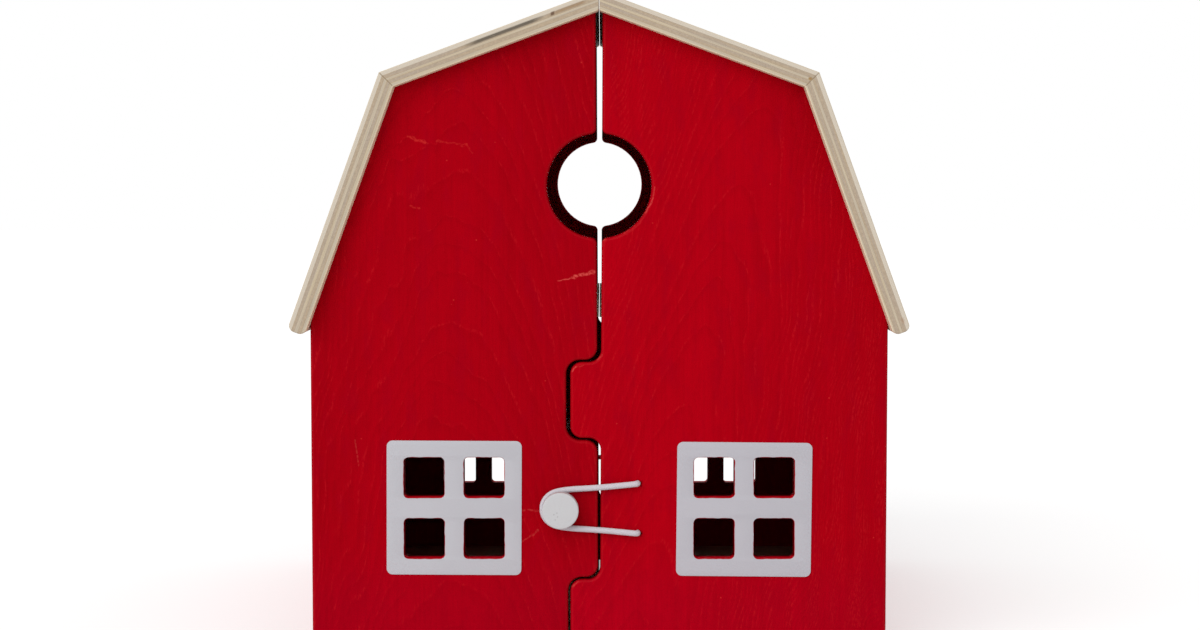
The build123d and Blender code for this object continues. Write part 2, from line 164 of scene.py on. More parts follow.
class Finish:
    """A material's node tree, with one short method for each kind of node."""

    def __init__(self, name):
        self.material = bpy.data.materials.new(name)
        self.material.use_nodes = True
        self.tree = self.material.node_tree
        self.tree.nodes.clear()

    def node(self, kind, inputs, **settings):
        made = self.tree.nodes.new(kind)
        for key, value in settings.items():
            setattr(made, key, value)
        for key, value in inputs.items():
            if isinstance(value, bpy.types.NodeSocket):
                self.tree.links.new(value, made.inputs[key])
            elif value is not None:
                made.inputs[key].default_value = value
        return made

    def math(self, operation, first, second=None, third=None):
        inputs = {0: first, 1: second, 2: third}
        return self.node("ShaderNodeMath", inputs, operation=operation).outputs[0]

    def total(self, *terms):
        result = terms[0]
        for term in terms[1:]:
            result = self.math("ADD", result, term)
        return result

    def product(self, *factors):
        result = factors[0]
        for factor in factors[1:]:
            result = self.math("MULTIPLY", result, factor)
        return result

    def vector(self, operation, first, second=None):
        made = self.node("ShaderNodeVectorMath", {0: first, 1: second}, operation=operation)
        return made.outputs["Value" if operation in ("DOT_PRODUCT", "LENGTH") else "Vector"]

    def rise(self, value, low, high):
        """0 below low and 1 above high, with a smooth rise between them."""
        inputs = {"Value": value, "From Min": low, "From Max": high}
        return self.node("ShaderNodeMapRange", inputs, interpolation_type="SMOOTHSTEP").outputs[0]

    def fall(self, value, low, high):
        """1 below low and 0 above high."""
        return self.math("SUBTRACT", 1.0, self.rise(value, low, high))

    def noise(self, place, scale, detail=2.0, roughness=0.5):
        inputs = {"Vector": place, "Scale": scale, "Detail": detail, "Roughness": roughness}
        return self.node("ShaderNodeTexNoise", inputs).outputs[0]

    def swing(self, place, scale, detail=2.0):
        """Noise around zero, from about -1 to 1."""
        return self.math("MULTIPLY_ADD", self.noise(place, scale, detail), 4.0, -2.0)

    def mix(self, share, first, second, blend="MIX"):
        inputs = {0: share, 6: rgba(first), 7: rgba(second)}
        made = self.node("ShaderNodeMix", inputs, data_type="RGBA", blend_type=blend)
        return made.outputs[2]

    def bands(self, value, edges, softness):
        """Alternates between 0 and 1 at each of the edges."""
        result = 0.0
        for index, edge in enumerate(edges):
            step = self.rise(value, edge - softness, edge + softness)
            result = self.math("ADD" if index % 2 == 0 else "SUBTRACT", result, step)
        return result

    def apart(self, value, target):
        """How far a value is from a target, above it or below."""
        return self.math("ABSOLUTE", self.math("SUBTRACT", value, target))

    def combine(self, x, y, z):
        return self.node("ShaderNodeCombineXYZ", {0: x, 1: y, 2: z}).outputs[0]

    def surface(self, colour, roughness, height, relief, gloss, **more):
        """Ends the tree in a principled shader. relief is the height's real size in metres."""
        bump = self.node("ShaderNodeBump", {"Height": height, "Distance": relief, "Strength": 1.0})
        inputs = {"Base Color": colour, "Roughness": roughness, "Normal": bump.outputs[0]}
        inputs["Specular IOR Level"] = gloss
        inputs.update(more)
        shader = self.node("ShaderNodeBsdfPrincipled", inputs)
        self.node("ShaderNodeOutputMaterial", {0: shader.outputs[0]})
        return self.material


def rgba(colour):
    """Three numbers as a colour with full alpha; a socket stays as it is."""
    return colour if isinstance(colour, bpy.types.NodeSocket) else (*colour, 1.0)


def place_and_normal(finish, side):
    """Position in millimetres and the surface's own normal, turned round for a left piece."""
    coordinates = finish.node("ShaderNodeTexCoord", {})
    turn = SIDES[side]
    scale = (turn / MM, turn / MM, 1 / MM)
    place = finish.vector("MULTIPLY", coordinates.outputs["Object"], scale)
    normal = finish.vector("MULTIPLY", coordinates.outputs["Normal"], (turn, turn, 1))
    return place, normal


class Board:
    """Coordinates of one plywood board inside its finish: along and across its grain, and through it."""

    def __init__(self, finish, side, grain, across, outward, inner_face):
        self.finish = finish
        self.place, self.normal = place_and_normal(finish, side)
        self.along = self.reach(grain)
        self.across = self.reach(across)
        self.depth = finish.math("SUBTRACT", self.reach(outward), inner_face)
        self.facing = self.turned_to(outward)
        self.end_cut = self.turned_to(grain)

    def reach(self, direction):
        """How far a point lies out along a direction, in millimetres."""
        return self.finish.vector("DOT_PRODUCT", self.place, direction)

    def turned_to(self, direction):
        """1 where the surface faces along a direction or against it, and 0 where it runs along it."""
        return self.finish.math("ABSOLUTE", self.finish.vector("DOT_PRODUCT", self.normal, direction))

    def stretched(self, along, across, depth, seed):
        """Position with its three directions scaled, for noise that runs with the grain."""
        finish = self.finish
        return finish.combine(
            finish.math("MULTIPLY_ADD", self.along, along, seed),
            finish.math("MULTIPLY", self.across, across),
            finish.math("MULTIPLY", self.depth, depth),
        )

    def noise(self, along, across, depth, seed, detail):
        return self.finish.noise(self.stretched(along, across, depth, seed), 1.0, detail)

    def swing(self, along, across, depth, seed, detail):
        return self.finish.swing(self.stretched(along, across, depth, seed), 1.0, detail)


def growth_rings(board, centre, lean, curve, spacing, seed):
    """Flame figure of peeled veneer: nested arches whose lines crowd together away from the centre line.

    Returns the thin line of each ring and the darker wood below it.
    """
    finish = board.finish
    wander = board.swing(0.012, 0.03, 0.0, seed, 3.0)
    detail = board.swing(0.05, 0.11, 0.0, seed + 7.0, 2.0)
    middle = finish.math("MULTIPLY_ADD", board.along, lean, centre)
    offset = finish.math("SUBTRACT", board.across, middle)
    offset = finish.math("MULTIPLY_ADD", wander, 6.0, offset)
    slope = finish.math("DIVIDE", offset, curve / 2)
    arch = finish.math("DIVIDE", finish.math("MULTIPLY", offset, offset), curve)
    height = finish.total(board.along, arch, finish.product(wander, 9.0), finish.product(detail, 2.2))
    ring = finish.math("DIVIDE", height, spacing)
    uneven = finish.math("SINE", finish.product(ring, 1.7))
    ring = finish.math("MULTIPLY_ADD", uneven, 0.22, ring)
    into = finish.math("FRACT", ring)
    steepness = finish.math("SQRT", finish.math("MULTIPLY_ADD", slope, slope, 1.0))
    distance = finish.math("DIVIDE", finish.product(into, spacing), steepness)
    rest = finish.math("SUBTRACT", 1.0, into)
    above = finish.math("DIVIDE", finish.product(rest, spacing), steepness)
    line = finish.fall(finish.math("MINIMUM", distance, above), 0.1, 0.65)
    shade = finish.product(finish.fall(above, 0.4, 5.0), finish.rise(above, 0.0, 0.8))
    return line, shade


def fibres(board, seed):
    """Fine grain: long soft streaks and short thin pores."""
    finish = board.finish
    streaks = board.swing(0.018, 0.75, 0.0, seed, 4.0)
    thin = board.swing(0.06, 3.2, 0.0, seed + 3.0, 3.0)
    pores = finish.rise(board.noise(0.22, 4.5, 0.0, seed + 5.0, 1.0), 0.66, 0.76)
    return streaks, thin, pores


def specks(board, cell, radius, share, seed):
    """Sparse small round marks: at most one in each cell, in the given share of the cells."""
    finish = board.finish
    place = board.stretched(1.0 / cell, 1.0 / cell, 0.0, seed)
    cells = finish.node("ShaderNodeTexVoronoi", {"Vector": place, "Scale": 1.0})
    distance = finish.product(cells.outputs["Distance"], cell)
    pick = finish.vector("DOT_PRODUCT", cells.outputs["Color"], (1.0, 0.0, 0.0))
    return finish.product(finish.rise(pick, 1.0 - share, 1.05 - share), finish.fall(distance, 0.1, radius))


def wavering_point(board):
    """Each point's (across, along) place on a face, pushed a little to and fro along the grain."""
    finish = board.finish
    waver = board.swing(0.30, 0.30, 0.0, 9.0, 1.0)
    return finish.combine(board.across, finish.math("MULTIPLY_ADD", waver, 0.7, board.along), 0.0)


def stroke(finish, point, start, end, width):
    """Mask of a straight mark from one (across, along) point to another."""
    first = Vector((*start, 0.0))
    run = Vector((*end, 0.0)) - first
    offset = finish.vector("SUBTRACT", point, first)
    share = finish.vector("DOT_PRODUCT", offset, run / run.length_squared)
    share = finish.math("MINIMUM", finish.math("MAXIMUM", share, 0.0), 1.0)
    nearest = finish.combine(finish.product(share, run.x), finish.product(share, run.y), 0.0)
    distance = finish.vector("LENGTH", finish.vector("SUBTRACT", offset, nearest))
    return finish.fall(distance, width * 0.3, width)


def with_marks(board, colour, marks, seed):
    """Scratches, rubbed spots, painted highlights and painted shade. A mark is its start, end, width,
    strength and tint.
    """
    finish = board.finish
    if not marks:
        return colour
    point = wavering_point(board)
    ragged = finish.rise(board.noise(0.9, 0.9, 0.0, seed, 3.0), 0.30, 0.62)
    for start, end, width, strength, tint in marks:
        mask = finish.product(stroke(finish, point, start, end, width), ragged, strength)
        colour = finish.mix(mask, colour, tint)
    return colour


def ply_edge(board, edges, colours, seed):
    """Colour of a board's cut edge: side grain and end grain by turns, with thin glue lines."""
    finish = board.finish
    side_colour, end_colour, glue_colour = colours
    waver = board.swing(0.03, 0.03, 0.0, seed, 2.0)
    depth = finish.math("MULTIPLY_ADD", waver, 0.07, board.depth)
    crossed = finish.bands(depth, edges, 0.12)
    cut_across = finish.rise(board.end_cut, 0.5, 0.8)
    both = finish.product(crossed, cut_across)
    end_grain = finish.total(crossed, cut_across, finish.product(both, -2.0))
    lines = board.swing(0.035, 0.035, 2.6, seed + 1.0, 3.0)
    ticks = board.swing(0.9, 0.9, 0.9, seed + 2.0, 3.0)
    tone = finish.mix(end_grain, side_colour, end_colour)
    streak = finish.mix(end_grain, grey(finish, lines, 0.12), grey(finish, ticks, 0.10))
    tone = finish.mix(1.0, tone, streak, "MULTIPLY")
    tint = finish.rise(board.noise(0.03, 0.03, 1.4, seed + 4.0, 2.0), 0.35, 0.65)
    tone = finish.mix(1.0, tone, finish.mix(tint, WARM_TINT, COOL_TINT), "MULTIPLY")
    nearest = 99.0
    for edge in edges:
        nearest = finish.math("MINIMUM", nearest, finish.apart(depth, edge))
    glue = finish.product(finish.fall(nearest, 0.03, 0.14), 0.45)
    return finish.mix(glue, tone, glue_colour), finish.mix(end_grain, lines, ticks)


def grey(finish, value, amount):
    """A multiplier around 1 from a value around 0."""
    return finish.math("MULTIPLY_ADD", value, amount, 1.0)


# Noise in the stain: scale along the grain, scale across it, step of the seed, detail and strength
STAIN_NOISE = {
    "streaks": (0.018, 0.75, 0.0, 4.0, 0.052),
    "thin fibres": (0.06, 3.2, 3.0, 3.0, 0.027),
    "wide streaks": (0.006, 0.16, 17.0, 2.0, 0.032),
    "hairs": (0.16, 2.0, 19.0, 2.0, 0.026),
    "blotches": (0.07, 0.13, 23.0, 3.0, 0.030),
    "mottle": (0.38, 0.45, 25.0, 2.0, 0.026),
    "cloud": (0.016, 0.022, 11.0, 2.0, 0.022),
}


def stain_tone(board, seed, shade):
    """Strength of the stain: noise of several sizes and the figure's dark wood."""
    finish = board.finish
    terms = [1.0]
    for along, across, step, detail, strength in STAIN_NOISE.values():
        swing = board.swing(along, across, 0.0, seed + step, detail)
        terms.append(finish.product(swing, strength))
    return finish.total(*terms, finish.product(shade, -0.060))


def light_grain(board, seed, line):
    """Where the wood shows through the stain: dashes along the figure's lines, and short fibres."""
    finish = board.finish
    long_breaks = finish.rise(board.noise(0.03, 0.2, 0.0, seed + 13.0, 2.0), 0.40, 0.64)
    dashes = finish.rise(board.noise(0.45, 1.3, 0.0, seed + 29.0, 2.0), 0.42, 0.62)
    fibre = finish.rise(board.noise(0.20, 2.6, 0.0, seed + 31.0, 1.0), 0.60, 0.78)
    along_rings = finish.product(line, long_breaks, dashes, 0.36)
    return finish.math("MAXIMUM", along_rings, finish.product(fibre, 0.10))


def pane_reveals(board):
    """Masks of the painted light on the outer strip of each pane's sill, and of the painted shade on the
    rest of the panes' walls.
    """
    finish = board.finish
    reach = PANE + CROSS_BAR / 2 + 2.0
    beside = finish.apart(board.across, WINDOW_OFFSET)
    above = finish.apart(board.along, WINDOW_HEIGHT)
    near = finish.fall(finish.math("MAXIMUM", beside, above), reach, reach + 1.0)
    near = finish.product(near, finish.fall(board.facing, 0.2, 0.7))
    sill = finish.rise(finish.vector("DOT_PRODUCT", board.normal, (0, 0, 1)), 0.4, 0.8)
    outer = finish.rise(board.depth, PANEL_PLY - 6.2, PANEL_PLY - 4.4)
    rim = finish.product(near, sill, outer)
    deep = finish.product(near, finish.fall(board.depth, PANEL_PLY - 1.6, PANEL_PLY - 0.7))
    return rim, finish.product(deep, finish.math("SUBTRACT", 1.0, rim))


def with_room_light(board, colour):
    """Painted shade on the panes' walls and the lower room's wall, painted light on the sills and the upper
    room's wall.
    """
    finish = board.finish
    inside = finish.product(finish.fall(board.depth, 0.02, 0.2), finish.rise(board.facing, 0.9, 0.99))
    upstairs = finish.rise(board.along, LOFT_BOTTOM - 5.0, LOFT_BOTTOM + 5.0)
    downstairs = finish.math("SUBTRACT", 1.0, upstairs)
    rim, deep = pane_reveals(board)
    wall_shade = finish.product(deep, PANE_WALL_SHADE)
    room_shade = finish.product(inside, downstairs, LOWER_ROOM_SHADE)
    room_light = finish.product(inside, upstairs, UPPER_ROOM_LIGHT)
    colour = finish.mix(finish.math("MAXIMUM", wall_shade, room_shade), colour, BLACK)
    return finish.mix(finish.math("MAXIMUM", rim, room_light), colour, PAINTED_LIGHT_RED)


def stained_board(name, side, front, figure, seed, shading, patches=(), marks=()):
    """Red stain on a gable or a side wall, with the veneer's figure showing through; a gable also gets
    painted light and shade, and some of its marks and patches are painted highlights and shade.
    """
    finish = Finish(name)
    if front is None:
        board = Board(finish, side, (0, 0, 1), (0, 1, 0), (1, 0, 0), HALF_WIDTH - PANEL_PLY)
    else:
        board = Board(finish, side, (0, 0, 1), (1, 0, 0), (0, front, 0), INNER_Y)
    line, shade = growth_rings(board, *figure, seed)
    tone = finish.product(stain_tone(board, seed, shade), board_shading(board, shading, patches))
    colour = finish.mix(1.0, RED, tone, "MULTIPLY")
    colour = finish.mix(finish.fall(board.along, 15.0, 60.0), colour, COOL_FOOT, "MULTIPLY")
    blots = finish.rise(board.noise(0.05, 0.12, 0.0, seed + 37.0, 3.0), 0.48, 0.72)
    colour = finish.mix(finish.product(blots, 0.50), colour, RED_BLOT)
    colour = finish.mix(light_grain(board, seed, line), colour, RED_LINE)
    colour = finish.mix(finish.product(specks(board, 9.0, 0.50, 0.35, seed), 0.75), colour, PALE_RED)
    colour = with_marks(board, colour, marks, seed)
    eased = finish.product(finish.rise(board.facing, 0.15, 0.6), finish.fall(board.facing, 0.95, 0.998))
    colour = finish.mix(finish.product(eased, 0.08), colour, RED_LINE)
    edge, _ = ply_edge(board, PLY_EDGES, (RED_EDGE, RED_DARK, RED_DARK), seed)
    colour = finish.mix(finish.fall(board.facing, 0.2, 0.7), colour, edge)
    if front is not None:
        colour = with_room_light(board, colour)
    streaks, thin, _ = fibres(board, seed)
    relief = finish.total(
        finish.product(thin, 0.35),
        finish.product(streaks, 0.25),
        finish.product(line, 0.3),
    )
    roughness = finish.math("MULTIPLY_ADD", streaks, 0.04, 0.50)
    lacquer = {"Coat Weight": finish.product(eased, 0.06), "Coat Roughness": 0.30}
    return finish.surface(colour, roughness, relief, 0.03 * MM, RED_GLOSS, **lacquer)


def patch(board, across, along, reach_across, reach_along, strength):
    """Soft oval in which the red is paler or darker, as a multiplier; some ovals are painted shade."""
    finish = board.finish
    beside = finish.math("MULTIPLY_ADD", board.across, 1.0 / reach_across, -across / reach_across)
    above = finish.math("MULTIPLY_ADD", board.along, 1.0 / reach_along, -along / reach_along)
    distance = finish.vector("LENGTH", finish.combine(beside, above, 0.0))
    return finish.math("MULTIPLY_ADD", finish.fall(distance, 0.0, 1.0), strength, 1.0)


def board_shading(board, shading, patches):
    """Slow change of the red's strength: through (across, strength) points, and in patches, some of which
    are painted shade.
    """
    finish = board.finish
    (first, value), *others = shading
    result = value
    for place, target in others:
        share = finish.rise(board.across, first, place)
        result = finish.math("MULTIPLY_ADD", share, target - value, result)
        first, value = place, target
    for each in patches:
        result = finish.product(result, patch(board, *each))
    return result


def bare_board(name, side, grain, across, outward, inner_face, edges, figure, seed, edge_marks=None):
    """Bare birch plywood: the veneer's figure on its faces and the plies on its cut edges.

    Only a roof slab has edge_marks, and it also gets painted light on its underside beyond the gables and
    painted shade along the ridge's seam.
    """
    finish = Finish(name)
    board = Board(finish, side, grain, across, outward, inner_face)
    line, shade = growth_rings(board, *figure, seed)
    streaks, thin, pores = fibres(board, seed)
    cloud = board.swing(0.012, 0.02, 0.0, seed + 11.0, 2.0)
    tone = finish.total(
        1.0,
        finish.product(streaks, 0.035),
        finish.product(thin, 0.03),
        finish.product(cloud, 0.03),
        finish.product(pores, -0.16),
    )
    colour = finish.mix(1.0, BIRCH_FACE, tone, "MULTIPLY")
    figure_share = finish.total(finish.product(line, 0.32), finish.product(shade, 0.30))
    colour = finish.mix(figure_share, colour, BIRCH_LATE)
    edge, edge_relief = ply_edge(board, edges, (BIRCH_SIDE, BIRCH_END, GLUE_LINE), seed)
    outer_ply = finish.rise(board.depth, edges[-1] - 0.1, edges[-1] + 0.1)
    edge = finish.mix(outer_ply, edge, BIRCH_OUTER)
    if edge_marks:
        edge = edge_marks(board, edge)
    on_edge = finish.fall(board.facing, 0.2, 0.7)
    colour = finish.mix(on_edge, colour, edge)
    if edge_marks:
        painted_light_underside, ridge = roof_underside(board)
        colour = finish.mix(painted_light_underside, colour, PAINTED_LIGHT_BIRCH)
        colour = finish.mix(finish.product(ridge, RIDGE_SHADE_SHARE), colour, RIDGE_SHADE)
    face_relief = finish.total(finish.product(thin, 0.5), finish.product(pores, -0.8))
    relief = finish.mix(on_edge, face_relief, edge_relief)
    roughness = finish.math("MULTIPLY_ADD", on_edge, 0.18, 0.45)
    return finish.surface(colour, roughness, relief, 0.04 * MM, BIRCH_GLOSS)


def slab_frame(pitch):
    """Directions of a roof slab: up the slope, along the ridge and outwards."""
    angle = radians(pitch)
    up = (-cos(angle), 0, sin(angle))
    outward = (sin(angle), 0, cos(angle))
    return up, (0, 1, 0), outward


def knee_z():
    """Height of the knee on the roof's inner face."""
    pitch = radians(LOWER_PITCH)
    return EAVE_HEIGHT + (HALF_WIDTH - KNEE_X) * sin(pitch) / cos(pitch)


def slab_inner_face(outward):
    """How far the slab's inner face lies out along its normal: both slabs pass through the knee."""
    return KNEE_X * outward[0] + knee_z() * outward[2]


def roof_underside(board):
    """Masks of the painted light on a roof slab's underside beyond the gables, and of the painted shade on
    the strip inside along the seam.
    """
    finish = board.finish
    ahead = finish.math("ABSOLUTE", board.reach((0, 1, 0)))
    beyond = finish.rise(ahead, FACE_Y, FACE_Y + 0.3)
    seam = finish.product(finish.fall(board.reach((1, 0, 0)), 3.0, 9.0), finish.fall(ahead, INNER_Y, FACE_Y))
    underside = finish.fall(board.depth, 0.1, 0.7)
    return finish.product(beyond, underside), finish.product(seam, underside)


def mitre_line(board, edge):
    """Thin brown line where two roof slabs meet on their mitre."""
    finish = board.finish
    middle = radians((LOWER_PITCH + UPPER_PITCH) / 2)
    sideways = Vector((cos(middle), 0, -sin(middle)))
    reach = KNEE_X * sideways.x + knee_z() * sideways.z
    line = finish.fall(finish.apart(board.reach(sideways), reach), 0.08, 0.32)
    return finish.mix(finish.product(line, 0.7), edge, MITRE_BROWN)


def front_only(board):
    """1 on the front part of the right half, and on the rear part of the left half."""
    return board.finish.fall(board.reach((0, 1, 0)), 0.0, 1.0)


def rear_only(board):
    """1 on the rear part of the right half, and on the front part of the left half."""
    return board.finish.rise(board.reach((0, 1, 0)), -1.0, 0.0)


def left_slab_void(board, edge):
    """Open gap in an outer ply of the left upper slab, painted grey as its shade, with brown ends, and the
    mitre line.
    """
    finish = board.finish
    edge = mitre_line(board, edge)
    across = board.reach((1, 0, 0))
    within = finish.product(finish.fall(finish.apart(board.depth, 5.65), 0.35, 1.15), rear_only(board))
    spread = finish.product(finish.rise(across, 23.0, 30.0), finish.fall(across, 53.0, 62.0))
    ragged = finish.rise(board.noise(0.25, 0.25, 2.0, 4.0, 3.0), 0.18, 0.38)
    void = finish.product(spread, ragged, within)
    stain = finish.product(finish.rise(across, 5.0, 8.0), finish.fall(across, 17.0, 24.0), within)
    edge = finish.mix(finish.product(stain, 0.50), edge, VOID_BROWN)
    dot = finish.product(finish.fall(finish.apart(across, 20.6), 0.4, 1.2), within)
    edge = finish.mix(finish.product(dot, 0.75), edge, VOID_DOT)
    return finish.mix(finish.product(void, 0.78), edge, VOID_SHADE_GREY)


def right_slab_knot(board, edge):
    """Small yellow-brown spot at the right knee, and the mitre line."""
    finish = board.finish
    edge = mitre_line(board, edge)
    offset = finish.vector("SUBTRACT", board.place, (93.6, -135.0, 259.8))
    flat = finish.vector("MULTIPLY", offset, (1.0, 0.0, 1.35))
    spot = finish.fall(finish.vector("LENGTH", flat), 0.4, 1.3)
    spot = finish.product(spot, front_only(board), 0.85)
    return finish.mix(spot, edge, KNOT_BROWN)


def right_slab_spot(board, edge):
    """Reddish-brown patch near the eave on the right lower slab, and the mitre line."""
    finish = board.finish
    edge = mitre_line(board, edge)
    eave = Vector((135.4, 0.0, 152.4)).dot(Vector(slab_frame(LOWER_PITCH)[0]))
    along = finish.math("MULTIPLY", finish.math("SUBTRACT", board.along, eave), 0.5)
    through = finish.math("SUBTRACT", board.depth, 5.9)
    distance = finish.vector("LENGTH", finish.combine(along, through, 0.0))
    spot = finish.product(finish.fall(distance, 0.2, 1.1), front_only(board), 0.45)
    return finish.mix(spot, edge, EAVE_BROWN)


# Roof slabs: pitch, edges of the plies, figure, seed and what marks the cut edge
ROOF_SLABS = {
    "left_upper": (UPPER_PITCH, (1.75, 3.4, 4.5, 6.2), (20.0, 0.1, 60.0, 22.0), 5.0, left_slab_void),
    "right_upper": (UPPER_PITCH, (1.6, 3.4, 4.6, 6.25), (-30.0, 0.0, 70.0, 20.0), 15.0, right_slab_knot),
    "left_lower": (LOWER_PITCH, (1.75, 3.3, 4.8, 6.3), (-10.0, 0.05, 65.0, 21.0), 25.0, mitre_line),
    "right_lower": (LOWER_PITCH, (1.1, 2.95, 4.15, 6.15), (45.0, 0.0, 70.0, 23.0), 35.0, right_slab_spot),
}


def roof_finish(slab):
    pitch, plies, figure, seed, marks = ROOF_SLABS[slab]
    up, across, outward = slab_frame(pitch)
    side = slab.split("_")[0]
    inner_face = slab_inner_face(outward)
    return bare_board(slab + "_birch", side, up, across, outward, inner_face, plies, figure, seed, marks)


def painted(name, colour, roughness, gloss, seed, dirt, spots=()):
    """Brushed-on white paint: a faint orange peel, slow changes of tone and tiny specks."""
    finish = Finish(name)
    place, _ = place_and_normal(finish, "right")
    offset = finish.vector("ADD", place, (seed, 0.0, 0.0))
    peel = finish.swing(offset, 1.6, 3.0)
    cloud = finish.swing(offset, 0.05, 2.0)
    tone = finish.total(1.0, finish.product(cloud, 0.012), finish.product(peel, 0.008))
    paint = finish.mix(1.0, colour, tone, "MULTIPLY")
    cells = finish.node("ShaderNodeTexVoronoi", {"Vector": offset, "Scale": 0.22})
    pick = finish.vector("DOT_PRODUCT", cells.outputs["Color"], (0.0, 1.0, 0.0))
    spot = finish.fall(cells.outputs["Distance"], 0.02, 0.07)
    spot = finish.product(spot, finish.rise(pick, 1.0 - dirt, 1.0), 0.6)
    paint = finish.mix(spot, paint, DIRT)
    for centre in spots:
        apart = finish.vector("LENGTH", finish.vector("SUBTRACT", place, centre))
        paint = finish.mix(finish.product(finish.fall(apart, 0.1, 0.5), 0.35), paint, DIRT)
    rough = finish.math("MULTIPLY_ADD", peel, 0.03, roughness)
    return finish.surface(paint, rough, peel, 0.02 * MM, gloss)


def elastic_finish(name):
    """Off-white textile: fine threads over the modelled braid."""
    finish = Finish(name)
    place, _ = place_and_normal(finish, "right")
    threads = finish.swing(finish.vector("MULTIPLY", place, (1.0, 1.0, 2.2)), 5.0, 3.0)
    cloud = finish.swing(place, 0.12, 2.0)
    tone = finish.total(1.0, finish.product(threads, 0.03), finish.product(cloud, 0.015))
    colour = finish.mix(1.0, WHITE_ELASTIC, tone, "MULTIPLY")
    more = {"Sheen Weight": 0.15, "Sheen Roughness": 0.5}
    return finish.surface(colour, 0.85, threads, 0.05 * MM, ELASTIC_GLOSS, **more)


def hidden_wood(name, side):
    """Round beech pegs, with fine pores."""
    finish = Finish(name)
    place, _ = place_and_normal(finish, side)
    grain = finish.swing(place, 0.8, 4.0)
    pores = finish.rise(finish.noise(place, 3.0, 2.0), 0.62, 0.72)
    tone = finish.total(1.0, finish.product(grain, 0.05), finish.product(pores, -0.2))
    colour = finish.mix(1.0, PEG_WOOD, tone, "MULTIPLY")
    return finish.surface(colour, 0.6, grain, 0.05 * MM, PEG_GLOSS)


def dress(node_name, material):
    """Gives a CAD node its finish."""
    slots = nodes[node_name].data.materials
    slots.clear()
    slots.append(material)


def placed(name, data):
    """New object in the scene."""
    made = bpy.data.objects.new(name, data)
    bpy.context.scene.collection.objects.link(made)
    return made


def mesh_object(name, vertices, faces, material):
    """Object from vertices in millimetres in the row frame."""
    mesh = bpy.data.meshes.new(name)
    mesh.from_pydata([tuple(point) for point in np.asarray(vertices) * MM], [], faces)
    mesh.update()
    mesh.shade_smooth()
    mesh.materials.append(material)
    return placed(name, mesh)


def mesh_of_curve(curve):
    drawn = placed(curve.name, curve)
    mesh = bpy.data.meshes.new_from_object(drawn.evaluated_get(bpy.context.evaluated_depsgraph_get()))
    bpy.data.objects.remove(drawn)
    return mesh


def tube_faces(rings, around):
    """Faces between rings of points, with the same number of points around each ring."""
    faces = []
    for ring in range(rings - 1):
        low, high = ring * around, (ring + 1) * around
        for place in range(around):
            beside = (place + 1) % around
            faces.append((low + place, low + beside, high + beside, high + place))
    return faces


def tidy_mesh(made, sharp_angle):
    """Merges points that coincide, turns the faces outwards and keeps sharp edges sharp."""
    work = bmesh.new()
    work.from_mesh(made.data)
    bmesh.ops.remove_doubles(work, verts=work.verts, dist=0.002 * MM)
    bmesh.ops.dissolve_degenerate(work, edges=work.edges, dist=0.001 * MM)
    bmesh.ops.recalc_face_normals(work, faces=work.faces)
    work.to_mesh(made.data)
    work.free()
    made.data.set_sharp_from_angle(angle=radians(sharp_angle))


def arc_points(centre_radius, centre_out, radius, start, end, steps):
    """Points on an arc in the lathe profile; 0 degrees points away from the axis."""
    points = []
    for step in range(steps + 1):
        angle = radians(start + (end - start) * step / steps)
        points.append((centre_radius + radius * cos(angle), centre_out + radius * sin(angle)))
    return points


def lathe_profile():
    """Knob outline as (radius, distance out from the gable) points, from the spigot to the crowned face."""
    outer = KNOB_RADIUS - KNOB_EASE
    neck_end = NECK_LENGTH - NECK_FILLET
    face = NECK_LENGTH + KNOB_THICKNESS
    points = [
        (0.0, -SPIGOT_LENGTH),
        (SPIGOT_RADIUS - SPIGOT_CHAMFER, -SPIGOT_LENGTH),
        (SPIGOT_RADIUS, -SPIGOT_LENGTH + SPIGOT_CHAMFER),
        (SPIGOT_RADIUS, 0.0),
        (NECK_RADIUS - NECK_CHAMFER, 0.0),
        (NECK_RADIUS, NECK_CHAMFER),
        (NECK_RADIUS, neck_end),
    ]
    points += arc_points(NECK_RADIUS + NECK_FILLET, neck_end, NECK_FILLET, 180, 90, 4)[1:]
    points += arc_points(outer, NECK_LENGTH + KNOB_EASE, KNOB_EASE, -90, 0, 8)
    points += arc_points(outer, face - KNOB_EASE - KNOB_CROWNING, KNOB_EASE, 0, 86, 10)
    for share in (0.8, 0.6, 0.4, 0.2, 0.0):
        points.append((outer * share, face - KNOB_CROWNING * share**2))
    return points


def knob(side, material):
    """Turned knob with a rounded rim and a slightly crowned face, in place of the CAD knob."""
    turn = SIDES[side]
    profile = lathe_profile()
    around = 96
    vertices = []
    for radius, out in profile:
        for segment in range(around):
            angle = tau * segment / around
            x = CATCH_OFFSET + radius * cos(angle)
            vertices.append((turn * x, turn * (FACE_Y + out), WINDOW_HEIGHT + radius * sin(angle)))
    made = mesh_object(side + "_turned_knob", vertices, tube_faces(len(profile), around), material)
    tidy_mesh(made, 40)
    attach(made, side + "_half")
    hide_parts(side + "_knob")


def rounded_square(size, corner, per_corner=8, per_side=14):
    """Outline of a rounded square around the origin, anticlockwise."""
    points = []
    half = size / 2 - corner
    for quarter in range(4):
        start = quarter * 90
        turned = Matrix.Rotation(radians(start), 2)
        centre = turned @ Vector((half, half))
        for step in range(per_corner + 1):
            angle = radians(start + 90 * step / per_corner)
            points.append(centre + Vector((cos(angle), sin(angle))) * corner)
        side_start = points[-1].copy()
        side_end = turned @ Vector((-half, half + corner))
        for step in range(1, per_side):
            points.append(side_start.lerp(side_end, step / per_side))
    return points


def hand_cut(outline, amount, seed):
    """The outline with small uneven steps in and out, as a masked paint edge has."""
    moved = []
    for point in outline:
        place = Vector((point.x * 0.35, point.y * 0.35, seed))
        coarse = noise.noise(place)
        fine = noise.noise(place * 4.0)
        moved.append(point + point.normalized() * amount * (coarse + 0.4 * fine))
    return moved


